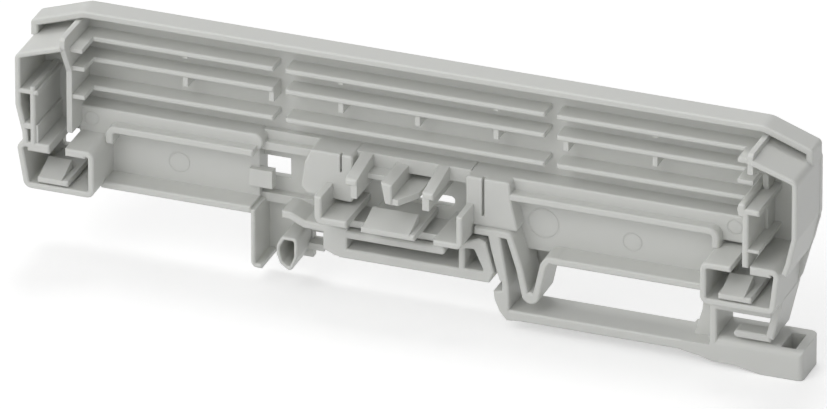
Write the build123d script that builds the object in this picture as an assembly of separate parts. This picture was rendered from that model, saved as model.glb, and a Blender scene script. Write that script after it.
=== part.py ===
"""End cover of a rail mounted circuit board carrier: one moulding with an integral snap foot.

Frame: X runs along the cover, Z is up and Y points to the plain outer face, so the ribbed inner
side faces -Y. The origin is the rail seat: X = 0 at the middle of the rail, Z = 0 on the rail's
flanges and Y = 0 on the outer face. Depths are measured from the outer face towards the inner side.
All sizes are in millimetres.
"""
import os
from build123d import *

# Overall outline
left_x = -69.3            # outer left end
right_x = 72.2            # outer right end
top_z = 36.9              # top face
bottom_z = 5.5            # lower edge of the long body
top_left_x = -59.8        # where the top starts to fall towards the left end
top_right_x = 63.4        # the same on the right
top_fall = 3.2            # how far the sloping ends of the top fall
top_radius = 3.5          # rounding between the top and its sloping ends

# Depths from the outer face
plate_depth = 1.4         # thickness of the back plate
rib_depth = 5.2           # top wall, board guide ribs and shelf
recess_depth = 3.9        # floor of the two long recesses
setback_depth = 2.6       # shelf behind the window
bay_depth = 4.8           # wall over the middle bay
upper_rim_depth = 7.2     # upper walls of the recesses
pad_depth = 7.3           # faces of the two middle pads
rim_depth = 8.4           # lower walls and the whole foot
foot_back = 1.2           # the foot's spring parts stand back from the outer face
front_depth = 13.0        # sockets and end walls

# Walls
wall = 1.3                # long walls
end_wall = 1.1            # walls of the sockets
cell_wall = 1.0           # end walls with their forward shoulders
edge_radius = 0.8         # outer long edges on the back
rim_ease = 0.25           # chamfer on the front edges of the walls
corner = 0.9              # corners seen from the front

# Board guides
board_left_x = -60.0      # inner faces of the two end walls of the board bay
board_right_x = 63.1
rib_heights = (32.4, 28.5, 23.1)      # top faces of the three guide ribs
rib_thickness = 0.95
rib_gaps_x = (-23.9, 25.2)            # middles of the two gaps in each rib
rib_gap = 2.2
left_stop_depths = (10.4, 9.4, 9.4)   # how far the end stops of the ribs reach out
right_stop_depth = 9.5
left_stop_width = 2.2
right_stop_width = 2.8
stop_thickness = 0.8
spacers_x = (-41.6, -25.9, -13.3, 0.6, 14.8, 27.4, 43.4)      # short webs under the middle rib
spacer_width = 0.9
spacer_drop = 1.9
tip_drop = 0.45            # small tips under the top rib, over every second web

# Shelf and recesses
shelf_z = 19.05           # upper face of the shelf
ledge_z = 16.95           # upper face of the long wall under the shelf
recess_left_x = (-55.4, -28.0)        # left recess, from the socket to the window
recess_right_x = (18.2, 55.4)         # right recess
spring_right_x = 26.4     # where the V spring meets the lower flange

# Snap tongues
tongue_thickness = 1.1
catch_rise = 1.7          # how far a tongue's catch rises above it
catch_depth = (7.9, 8.3)  # back and crest of the catch
end_tongue_z = 7.0        # underside of the tongues in the two sockets
middle_tongue_z = 7.95

# Foot
seat_thickness = 1.85     # lower bar that rests on the rail
upper_bar_z = 4.55        # middle of the bar above it
upper_bar_thickness = 1.45
arm_thickness = 1.4       # curved arm at the left of the seat
lip_depth = 3.0           # lip under the rail's left flange
spring_wall = 1.25        # V spring
bar_top_z = -4.5          # long bar from the latch to the release block
bar_thickness = 1.85
hook_thickness = 1.35     # hook over the release block
leaning_wall = 1.4        # wall that carries the hook
block_top_z = -2.9        # release block
block_bottom_z = -8.5
block_right_x = 71.9
block_front_radius = 1.4
slot_x = (67.7, 70.3)     # screwdriver slot in the release block
slot_depth = (1.9, 7.4)
slot_floor_z = -7.3

# Round marks: X, Z, radius and the depth of the face they lie on
marks_at = (
    (23.6, 10.8, 2.9, recess_depth),
    (39.7, 10.1, 1.8, recess_depth),
    (-42.6, 10.6, 2.0, recess_depth),
    (-58.2, 16.9, 1.45, rib_depth),
    (58.5, 16.9, 1.45, rib_depth),
)
mark_line = 0.25
mark_sink = 0.06


def outline(points, radius=0.0):
    """Closed face through the given X, Z points, with rounded corners."""
    face = make_face(Polyline(*points, close=True))
    if radius:
        face = fillet(face.vertices(), radius)
    return face


def rectangle(x0, x1, z0, z1, radius=0.0):
    """Upright rectangle between two X and two Z values."""
    return outline([(x0, z0), (x1, z0), (x1, z1), (x0, z1)], radius)


def disc(x, z, radius):
    """Round face about an X, Z point."""
    return Pos(x, z) * Circle(radius)


def strip(points, thickness, bend=0.0):
    """Square ended wall along a line through the given X, Z points, with rounded bends."""
    path = FilletPolyline(*points, radius=bend) if bend else Polyline(*points)
    return trace(path, thickness)


def raised(face, front, back=0.0):
    """Solid that stands on a face in the X-Z plane, from one depth to another."""
    return extrude(Plane.XZ.offset(back) * face, amount=front - back)


def ease_front(solid, size=rim_ease):
    """The same solid with the edges of its front faces chamfered."""
    return chamfer(solid.faces().group_by(Axis.Y)[0].edges(), size)


def block(x0, x1, z0, z1, front, back=0.0):
    """Plain block between two X, two Z and two depth values."""
    return raised(rectangle(x0, x1, z0, z1), front, back)


def ridge(points, x0, x1):
    """Solid with the given depth, Z section, from one X value to another."""
    section = make_face(Polyline(*[(-depth, z) for depth, z in points], close=True))
    return extrude(Plane.YZ.offset(x0) * section, amount=x1 - x0)


def slab(points, z0, z1):
    """Solid with the given X, depth plan, from one Z value to another."""
    plan = make_face(Polyline(*[(x, -depth) for x, depth in points], close=True))
    return extrude(Plane.XY.offset(z0) * plan, amount=z1 - z0)


def body_face():
    """Outline of the long body."""
    low_z = top_z - top_fall
    face = outline([
        (left_x + 3.0, bottom_z),
        (left_x + 1.5, 7.0),
        (left_x + 0.4, 11.5),
        (left_x + 1.5, 14.3),
        (left_x + 1.2, 16.4),
        (left_x, 21.0),
        (left_x, low_z),
        (top_left_x, top_z),
        (top_right_x, top_z),
        (right_x, low_z),
        (right_x, 19.4),
        (right_x - 1.7, 13.2),
        (right_x - 3.0, 8.2),
        (right_x - 4.3, bottom_z),
    ])
    face = fillet(face.vertices().sort_by(Axis.Y)[-2:], top_radius)
    return fillet(face.vertices().sort_by(Axis.Y)[:-4], corner)


def back_plate():
    """Plain outer face of the long body, with its long edges rounded."""
    plate = raised(body_face(), plate_depth)
    return fillet(plate.faces().sort_by(Axis.Y)[-1].edges(), edge_radius)


def top_wall():
    """Top wall and the sloping shoulders at both ends."""
    shell = body_face() - offset(body_face(), amount=-wall)
    end_z = top_z - top_fall - 2.9
    above = rectangle(left_x - 1, right_x + 1, end_z, top_z + 1)
    return ease_front(raised(shell & above, rib_depth, edge_radius))


def guide_ribs():
    """Three broken ribs that hold the edges of circuit boards, with the webs that hang under them."""
    ribs = Part()
    for top, left_stop_depth in zip(rib_heights, left_stop_depths):
        low = top - rib_thickness
        rib = block(board_left_x, board_right_x, low, top, rib_depth)
        for middle in rib_gaps_x:
            rib -= block(middle - rib_gap / 2, middle + rib_gap / 2, low - 1, top + 1, rib_depth + 1)
        ribs += ease_front(rib)
        low = top - stop_thickness
        ribs += block(board_left_x, board_left_x + left_stop_width, low, top, left_stop_depth)
        ribs += block(board_right_x - right_stop_width, board_right_x, low, top, right_stop_depth)
    low = rib_heights[1] - rib_thickness
    for x in spacers_x:
        ribs += block(x, x + spacer_width, low - spacer_drop, low + 0.3, rib_depth - 0.4)
    low = rib_heights[0] - rib_thickness
    for x in spacers_x[::2]:
        ribs += block(x, x + spacer_width, low - tip_drop, low + 0.3, rib_depth - 0.4)
    return ribs


def bay_end_walls():
    """Upright walls at the two ends of the board bay, leaning out towards the top."""
    left = [(0.5, 15.8), (9.7, 15.8), (9.7, 27.5), (12.8, 33.2), (12.8, 34.6), (12.3, 35.1), (0.5, 35.1)]
    right = [(0.5, 14.3), (4.6, 14.3), (4.6, 27.4), (8.2, 30.3), (12.5, 31.2), (12.5, 34.5), (12.0, 35.0), (0.5, 35.0)]
    walls = ridge(left, board_left_x - cell_wall, board_left_x)
    walls += ridge(right, board_right_x, board_right_x + cell_wall)
    return walls


def shelf():
    """Shelf under the boards, with the blocks over the sockets' inner arms."""
    left = outline([(-60.5, 14.0), (-54.5, 14.0), (-54.5, ledge_z - 1), (-27.0, ledge_z - 1), (-27.0, shelf_z), (-60.5, shelf_z)])
    left = fillet(left.vertices().sort_by(Axis.X)[-2:], 1.5)
    right = [(18.0, ledge_z - 1), (54.5, ledge_z - 1), (54.5, 14.0), (63.4, 14.0), (63.4, shelf_z), (18.0, shelf_z)]
    parts = ease_front(raised(left, rib_depth)) + ease_front(raised(outline(right), rib_depth))
    parts += block(-27.6, -17.0, 16.0, shelf_z, setback_depth)
    parts += block(-27.6, -17.0, 15.8, 17.3, recess_depth)
    parts += block(-9.9, 10.8, 16.4, shelf_z, bay_depth)
    return parts


def recesses():
    """Raised floors of the two long recesses, with the walls above and under them."""
    middle_z = ledge_z - wall / 2
    walls = Part()
    for (x0, x1), flange_x in ((recess_left_x, recess_left_x[0]), (recess_right_x, spring_right_x)):
        walls += block(x0, x1, bottom_z, ledge_z - 0.3, recess_depth)
        walls += ease_front(block(flange_x, x1, bottom_z, bottom_z + wall, rim_depth))
    left = strip([(-54.3, 13.5), (-54.3, middle_z), (-28.0, middle_z)], wall, 1.2)
    right = strip([(18.2, middle_z), (55.6, middle_z), (55.6, 13.2)], wall, 1.2)
    walls += ease_front(raised(left, upper_rim_depth)) + ease_front(raised(right, upper_rim_depth))
    walls += block(-28.4, -16.5, bottom_z, bottom_z + 1.7, 3.0)
    walls += block(-29.5, -25.3, 9.0, 12.3, 5.0, recess_depth - 0.6)
    return walls


def end_cell_left():
    """Left end wall with its forward shoulder, and the post with its webs."""
    outer = [(-60.6, 33.15), (-68.7, 30.5), (-68.7, 21.2), (-67.5, 16.2), (-67.3, 13.6)]
    face = strip(outer, cell_wall, 1.0)
    face += rectangle(-66.45, -65.5, 13.8, 25.0)
    face += rectangle(-68.8, -65.0, 23.5, 24.4)
    face += rectangle(-67.9, -66.0, 16.8, 18.0)
    return ease_front(raised(face, front_depth)) + block(-66.0, -65.1, 14.0, 17.7, front_depth - 0.4)


def end_cell_right():
    """Right end wall with its forward shoulder, and the post with its webs."""
    outer = [(63.8, 33.6), (71.65, 31.05), (71.65, 20.4), (70.55, 15.4), (69.9, 13.4)]
    face = strip(outer, cell_wall, 1.0)
    face += rectangle(62.4, 63.5, 13.7, 24.0)
    face += rectangle(61.6, 62.9, 23.2, 25.6, 0.4)
    face += rectangle(62.6, 65.4, 23.7, 24.8)
    face += rectangle(62.9, 65.4, 16.6, 17.3)
    return ease_front(raised(face, front_depth))


def sockets():
    """Open boxes at both ends of the cover, each with two arms above that leave a slot between them."""
    left = strip(
        [(-63.0, 13.85), (-68.5, 13.85), (-67.2, 6.15), (-55.4, 6.15), (-55.4, 13.8), (-60.1, 13.8)],
        end_wall, corner)
    left += rectangle(-67.0, -63.0, 12.7, 14.4) + rectangle(-60.1, -56.5, 12.9, 14.35)
    right = strip(
        [(60.35, 12.85), (55.45, 12.85), (55.45, 6.15), (67.8, 6.15), (68.65, 13.55), (63.8, 13.55)],
        end_wall, corner)
    right += rectangle(63.8, 67.5, 12.5, 14.1)
    return ease_front(raised(left, front_depth)) + ease_front(raised(right, front_depth))


def tongue(base, catch, z):
    """Snap tongue from the back plate, with a sloping catch that is narrower than its base."""
    top = z + tongue_thickness
    back, crest = catch_depth
    ramp = [(back, top - 0.3), (front_depth, top - 0.3), (front_depth, top), (crest, top + catch_rise), (back, top + catch_rise)]
    return ease_front(block(*base, z, top, front_depth)) + ridge(ramp, *catch)


def tongues():
    """The snap tongues of the two sockets and of the middle bay."""
    parts = tongue((-65.2, -59.6), (-65.0, -60.7), end_tongue_z)
    parts += tongue((58.2, 64.1), (58.6, 62.9), end_tongue_z)
    parts += tongue((-6.2, 3.5), (-5.8, 2.6), middle_tongue_z)
    return parts


def lower_right_frame():
    """Wall, hook and post between the right socket and the release block."""
    face = rectangle(55.1, 66.2, 2.4, bottom_z + 0.8) + rectangle(55.1, 56.4, -4.0, 3.0)
    leaning = strip([(67.7, 6.6), (65.8, -1.5)], leaning_wall)
    hook = strip([(66.0, -1.5), (60.1, -1.5)], hook_thickness) + disc(60.1, -1.5, hook_thickness / 2)
    gusset = [(56.0, bottom_z + 0.6), (53.3, bottom_z + 0.6), (52.7, 0.3), (51.2, -5.0), (56.0, -5.0)]
    frame = raised(outline(gusset), rib_depth)
    for part, back in ((face, 0), (leaning, 0), (hook, 5.4)):
        frame += ease_front(raised(part, rim_depth, back))
    return frame


def release_block():
    """Block at the end of the long bar, with a slot for a screwdriver."""
    front = outline([
        (50.0, bar_top_z), (55.0, bar_top_z), (55.6, block_top_z), (block_right_x, block_top_z),
        (block_right_x, block_bottom_z), (64.3, block_bottom_z), (59.8, -7.6), (55.6, -7.5),
        (53.5, -6.9), (50.0, bar_top_z - bar_thickness),
    ])
    solid = raised(front, rim_depth)
    plan = make_face(Polyline((49, 0), (block_right_x, 0), (block_right_x, -rim_depth), (49, -rim_depth), close=True))
    plan = fillet(plan.vertices().sort_by(Axis.X)[-2:].sort_by(Axis.Y)[-1], 1.6)
    plan = fillet(plan.vertices().sort_by(Axis.Y)[:2].sort_by(Axis.X)[-1], 1.0)
    solid &= extrude(Plane.XY.offset(block_bottom_z) * plan, amount=block_top_z - block_bottom_z)
    side = make_face(Polyline((0, -9), (-rim_depth, -9), (-rim_depth, block_top_z), (0, block_top_z), close=True))
    side = fillet(side.vertices().sort_by(Axis.Y)[-2:].sort_by(Axis.X)[0], block_front_radius)
    rounded = solid & extrude(Plane.YZ.offset(56.0) * side, amount=17)
    solid = (solid & block(49, 56, -10, 0, rim_depth)) + rounded
    return solid - block(*slot_x, slot_floor_z, 0, slot_depth[1], slot_depth[0])


def latch_points():
    """Outline of the leg with the nose that holds the rail's right flange."""
    return [
        (15.0, 9.5), (15.6, 6.6), (16.3, 3.9), (17.2, 0.8), (17.65, 0.6), (17.65, -1.1),
        (16.1, -1.4), (16.3, -3.0), (17.2, -5.1), (18.5, -6.6), (20.8, -6.35),
        (20.8, bar_top_z), (19.0, bar_top_z), (18.9, -0.4), (18.3, 3.3), (17.8, 6.0), (17.2, 9.5),
    ]


def spring_face():
    """V spring that runs from the wall under the right pad down and up again to the lower flange."""
    path = [
        (12.6, 9.5), (18.9, 9.5), (20.8, 3.6), (21.9, -1.6), (22.8, -2.3),
        (23.7, -1.6), (25.1, 5.0), (25.9, 6.2), (27.6, 6.2),
    ]
    return strip(path, spring_wall, 0.8) + disc(22.8, -1.5, 1.0)


def latch():
    """Latch leg, V spring and the bar that joins them to the release block, with the plate behind."""
    face = outline(latch_points()) + spring_face()
    face += rectangle(19.4, 51.0, bar_top_z - bar_thickness, bar_top_z)
    return ease_front(raised(face, rim_depth, foot_back)) + block(18.0, 23.6, -1.2, bottom_z + 0.3, 0.8)


def seat_bars():
    """Outline of the bars, the block and the loop over the rail, with the curved arm at their left."""
    bar_end = (6.6, upper_bar_z)
    face = rectangle(-12.0, 10.5, 0.0, seat_thickness)
    face += strip([(-10.8, upper_bar_z), bar_end], upper_bar_thickness) + disc(*bar_end, upper_bar_thickness / 2)
    face += outline([(-14.8, 4.9), (-14.8, 1.1), (-12.7, 0.2), (-10.45, 0.0), (-10.45, 4.9)])
    face += strip([(-22.3, 6.35), (-20.9, 6.35), (-18.2, 5.15), (-10.45, 4.95)], arm_thickness, 1.0)
    face += outline([(9.8, 6.6), (13.4, 8.1), (14.7, 7.6), (16.2, 2.0), (15.4, 0.0), (9.8, 0.0)], 0.4)
    return face - outline([(10.9, 5.8), (12.6, 5.9), (14.4, 2.0), (10.9, 2.0)], 0.3)


def seat():
    """Bars over the rail, with the plate and the wall behind them."""
    parts = ease_front(raised(seat_bars(), rim_depth))
    parts += block(-16.0, 14.6, 0.0, bottom_z + 1, plate_depth)
    parts += block(-16.0, 12.0, bottom_z + 0.1, bottom_z + 1.4, upper_rim_depth)
    return parts


def hook_tube():
    """Drop shaped tube whose lip hooks under the rail's left flange."""
    outer = outline([(-23.3, 0.3), (-22.3, 2.1), (-19.5, 2.1), (-19.5, -1.6), (-20.7, -4.5), (-22.7, -3.1), (-23.3, -1.4)], 0.7)
    bore = outline([(-22.7, 0.1), (-21.9, 1.5), (-20.1, 1.5), (-20.1, -1.5), (-20.9, -3.6), (-22.2, -2.75), (-22.7, -1.3)], 0.4)
    lip = block(-20.0, -16.6, -2.3, -1.1, lip_depth)
    return ease_front(raised(outer - bore, rim_depth, plate_depth - 0.3), 0.2) + lip


def left_leg():
    """Leg with a turned end at the left of the foot, and the plate behind it."""
    leg = ease_front(raised(strip([(-27.6, 6.2), (-27.6, -4.35), (-26.0, -4.35)], 0.8, 0.7), rim_depth))
    leg += block(-27.8, -19.2, -4.6, bottom_z + 1, plate_depth)
    leg += block(-19.5, -15.5, 0.4, bottom_z + 1, plate_depth)
    return leg


def pads():
    """Two pads in the middle that flank the bay, each with a narrow groove."""
    left = outline([(-17.4, shelf_z), (-18.5, 16.7), (-19.2, 11.8), (-18.3, 10.6), (-9.8, 10.2), (-9.8, shelf_z)], 0.6)
    right = outline([(10.7, 10.0), (10.7, shelf_z), (18.6, shelf_z), (18.75, 16.0), (20.0, 10.6), (20.0, 10.0)], 0.5)
    both = ease_front(raised(left, pad_depth)) + ease_front(raised(right, pad_depth))
    both -= block(-12.1, -11.7, 15.7, shelf_z + 1, pad_depth + 1, pad_depth - 1.0)
    both -= block(13.6, 14.1, 12.0, shelf_z + 1, pad_depth + 1, pad_depth - 1.0)
    return both


def brackets():
    """Two L shaped brackets that stand forward from the pads."""
    left = strip([(-14.0, 13.4), (-14.0, 8.85), (-8.8, 8.85)], wall, 0.7)
    right = strip([(11.6, 14.0), (11.6, 8.35), (6.9, 8.35)], end_wall, 0.7)
    return ease_front(raised(left, front_depth)) + ease_front(raised(right, front_depth))


def hooded_rib(x0, x1, hood_x0, hood_x1, top):
    """Upright rib with a wider hood that rises from the front to the shelf."""
    hood = [(0.5, top - 1.2), (front_depth, top - 1.2), (front_depth, top), (bay_depth - 0.3, shelf_z), (0.5, shelf_z)]
    return block(x0, x1, 14.2, top - 1.0, front_depth - 0.1, 0.5) + ease_front(ridge(hood, hood_x0, hood_x1))


def bay_ribs():
    """Three upright ribs in the middle bay, and the foot of the second."""
    ribs = hooded_rib(-8.0, -6.9, -9.0, -6.9, 17.7) + hooded_rib(4.95, 6.2, 4.95, 6.9, 17.5)
    ribs += block(-7.2, -2.4, 15.6, 16.6, 7.5)
    ribs += ease_front(raised(outline([(-2.6, 18.2), (-0.6, 17.8), (-0.6, 14.1), (-1.85, 14.2)]), front_depth))
    ribs += slab([(-0.8, 12.7), (0.5, 12.7), (2.8, 8.7), (3.2, 1.0), (-0.8, 1.0)], 14.1, 15.2)
    return ribs


def windows():
    """Openings through the back plate, cut at the end."""
    cut = block(-28.0, -23.2, 9.8, 13.6, 3.0, -1)
    cut += block(-65.0, -61.0, 8.8, 12.4, 3.0, -1)
    cut += block(59.0, 62.6, 8.8, 12.0, 3.0, -1)
    cut += raised(rectangle(-0.8, 6.6, 9.6, 11.6, 0.8), 3.0, -1)
    return cut


def marks():
    """Shallow rings sunk into the faces."""
    cut = Part()
    for x, z, radius, depth in marks_at:
        ring = disc(x, z, radius) - disc(x, z, radius - mark_line)
        cut += raised(ring, depth + 0.5, depth - mark_sink)
    return cut


def end_cover():
    """The whole moulding."""
    solid = back_plate()
    for feature in (
        top_wall, guide_ribs, bay_end_walls, shelf, recesses, end_cell_left, end_cell_right, sockets,
        tongues, lower_right_frame, release_block, latch, seat,
        hook_tube, left_leg, pads, brackets, bay_ribs,
    ):
        solid += feature()
    return solid - windows() - marks()


os.makedirs("parts", exist_ok=True)
export_step(end_cover(), "parts/end_cover.step")
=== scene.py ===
"""Studio picture of the end cover: material, floor, light and camera."""

import math

import bpy
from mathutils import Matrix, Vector


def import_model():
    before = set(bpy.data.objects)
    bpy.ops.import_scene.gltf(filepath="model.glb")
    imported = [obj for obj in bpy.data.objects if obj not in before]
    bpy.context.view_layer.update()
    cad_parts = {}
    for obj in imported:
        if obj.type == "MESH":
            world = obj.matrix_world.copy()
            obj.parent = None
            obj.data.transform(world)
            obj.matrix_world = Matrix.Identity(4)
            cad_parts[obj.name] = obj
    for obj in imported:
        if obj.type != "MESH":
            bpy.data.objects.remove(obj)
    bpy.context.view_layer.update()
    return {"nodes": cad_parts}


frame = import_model()

MM = 0.001
WHITE = (1, 1, 1, 1)

# The picture: its width in pixels, and its scale in the plane through AIM
PICTURE_WIDTH = 827
PIXELS_PER_MM = 5.89
AZIMUTH = math.radians(20.6)     # from the front towards +X
ELEVATION = math.radians(27.0)
DISTANCE = 3.0                   # far enough for almost parallel lines
AIM = Vector((0.79, -6.0, 11.27)) * MM
SENSOR_WIDTH = 36
CLIP_END = DISTANCE * 4

# The plastic
PLASTIC_COLOR = (0.66, 0.666, 0.642, 1)
PLASTIC_ROUGHNESS = 0.42
PLASTIC_IOR = 1.5
SCATTER_WEIGHT = 0.3
SCATTER_RADIUS = (1, 1, 0.9)     # of red, green and blue, times SCATTER_SCALE
SCATTER_SCALE = 1.2 * MM
GRAIN_SCALE = 900
GRAIN_DETAIL = 3
GRAIN_STRENGTH = 0.05
GRAIN_HEIGHT = 0.1 * MM
EDGE_RADIUS = 0.22 * MM
EDGE_SAMPLES = 8

# The floor, level with the cover's lowest face
FLOOR_SIZE = 6
FLOOR_Z = -8.5 * MM
FLOOR_COLOR = (0.75, 0.75, 0.75, 1)
FLOOR_ROUGHNESS = 0.9
FLOOR_GLOW = 0.42

# Light: the surroundings, and soft boxes as name, place, width and power
SKY_LEVEL = 0.71
SKY_LEAN = (-0.34, -0.28, -0.25)
LAMP_AIM = (0, 0, 0.01)
LAMPS = (
    ("key", (-0.1, 0.3, 1.0), 0.3, 2.1),
    ("fill", (-0.35, -0.75, 0.85), 0.6, 2.4),
)


def plastic():
    """Light grey moulded plastic with a faint grain and softly rounded edges."""
    material = bpy.data.materials.new("light_grey_plastic")
    material.use_nodes = True
    nodes, links = material.node_tree.nodes, material.node_tree.links
    shader = nodes["Principled BSDF"]
    shader.inputs["Base Color"].default_value = PLASTIC_COLOR
    shader.inputs["Roughness"].default_value = PLASTIC_ROUGHNESS
    shader.inputs["IOR"].default_value = PLASTIC_IOR
    shader.inputs["Subsurface Weight"].default_value = SCATTER_WEIGHT
    shader.inputs["Subsurface Radius"].default_value = SCATTER_RADIUS
    shader.inputs["Subsurface Scale"].default_value = SCATTER_SCALE
    grain = nodes.new("ShaderNodeTexNoise")
    grain.inputs["Scale"].default_value = GRAIN_SCALE
    grain.inputs["Detail"].default_value = GRAIN_DETAIL
    coords = nodes.new("ShaderNodeTexCoord")
    rounded = nodes.new("ShaderNodeBevel")
    rounded.samples = EDGE_SAMPLES
    rounded.inputs["Radius"].default_value = EDGE_RADIUS
    bump = nodes.new("ShaderNodeBump")
    bump.inputs["Strength"].default_value = GRAIN_STRENGTH
    bump.inputs["Distance"].default_value = GRAIN_HEIGHT
    links.new(coords.outputs["Object"], grain.inputs["Vector"])
    links.new(grain.outputs["Fac"], bump.inputs["Height"])
    links.new(rounded.outputs["Normal"], bump.inputs["Normal"])
    links.new(bump.outputs["Normal"], shader.inputs["Normal"])
    return material


def floor():
    """Pale floor that keeps the cover's shadow.

    Its glow shows to the camera and in reflections, and adds no other light.
    """
    bpy.ops.mesh.primitive_plane_add(size=FLOOR_SIZE, location=(0, 0, FLOOR_Z))
    plane = bpy.context.object
    plane.name = "floor"
    material = bpy.data.materials.new("floor")
    material.use_nodes = True
    nodes, links = material.node_tree.nodes, material.node_tree.links
    shader = nodes["Principled BSDF"]
    shader.inputs["Base Color"].default_value = FLOOR_COLOR
    shader.inputs["Roughness"].default_value = FLOOR_ROUGHNESS
    shader.inputs["Emission Color"].default_value = WHITE
    path = nodes.new("ShaderNodeLightPath")
    glow = nodes.new("ShaderNodeMath")
    glow.operation = "MULTIPLY"
    glow.inputs[1].default_value = FLOOR_GLOW
    seen = nodes.new("ShaderNodeMath")
    seen.operation = "MAXIMUM"
    links.new(path.outputs["Is Camera Ray"], seen.inputs[0])
    links.new(path.outputs["Is Glossy Ray"], seen.inputs[1])
    links.new(seen.outputs[0], glow.inputs[0])
    links.new(glow.outputs[0], shader.inputs["Emission Strength"])
    plane.data.materials.append(material)


def world():
    """White surroundings, brighter in front, to the left and low down.

    A direction's level is SKY_LEVEL plus its dot product with SKY_LEAN. The
    camera sees plain white or brighter.
    """
    sky = bpy.data.worlds.new("studio")
    sky.use_nodes = True
    nodes, links = sky.node_tree.nodes, sky.node_tree.links
    background = nodes["Background"]
    background.inputs["Color"].default_value = WHITE
    coords = nodes.new("ShaderNodeTexCoord")
    lean = nodes.new("ShaderNodeVectorMath")
    lean.operation = "DOT_PRODUCT"
    lean.inputs[1].default_value = SKY_LEAN
    level = nodes.new("ShaderNodeMath")
    level.operation = "ADD"
    level.inputs[1].default_value = SKY_LEVEL
    path = nodes.new("ShaderNodeLightPath")
    shown = nodes.new("ShaderNodeMath")
    shown.operation = "MAXIMUM"
    links.new(coords.outputs["Generated"], lean.inputs[0])
    links.new(lean.outputs["Value"], level.inputs[0])
    links.new(level.outputs[0], shown.inputs[0])
    links.new(path.outputs["Is Camera Ray"], shown.inputs[1])
    links.new(shown.outputs[0], background.inputs["Strength"])
    bpy.context.scene.world = sky


def lamp(name, place, size, power):
    """Square soft box that shines at LAMP_AIM."""
    data = bpy.data.lights.new(name, "AREA")
    data.size = size
    data.energy = power
    box = bpy.data.objects.new(name, data)
    box.location = place
    beam = Vector(LAMP_AIM) - Vector(place)
    box.rotation_euler = beam.to_track_quat("-Z", "Y").to_euler()
    bpy.context.scene.collection.objects.link(box)


def camera():
    """Long lens at the photograph's viewing angle."""
    back = Vector((
        math.sin(AZIMUTH) * math.cos(ELEVATION),
        -math.cos(AZIMUTH) * math.cos(ELEVATION),
        math.sin(ELEVATION),
    ))
    data = bpy.data.cameras.new("camera")
    data.sensor_width = SENSOR_WIDTH
    shown_width = PICTURE_WIDTH / PIXELS_PER_MM * MM
    data.lens = data.sensor_width * DISTANCE / shown_width
    data.clip_end = CLIP_END
    viewer = bpy.data.objects.new("camera", data)
    viewer.location = AIM + back * DISTANCE
    viewer.rotation_euler = (-back).to_track_quat("-Z", "Y").to_euler()
    bpy.context.scene.collection.objects.link(viewer)
    bpy.context.scene.camera = viewer


cover = frame["nodes"]["end_cover"]
cover.data.materials.clear()
cover.data.materials.append(plastic())
floor()
world()
for lamp_values in LAMPS:
    lamp(*lamp_values)
camera()
bpy.context.scene.view_settings.view_transform = "Standard"
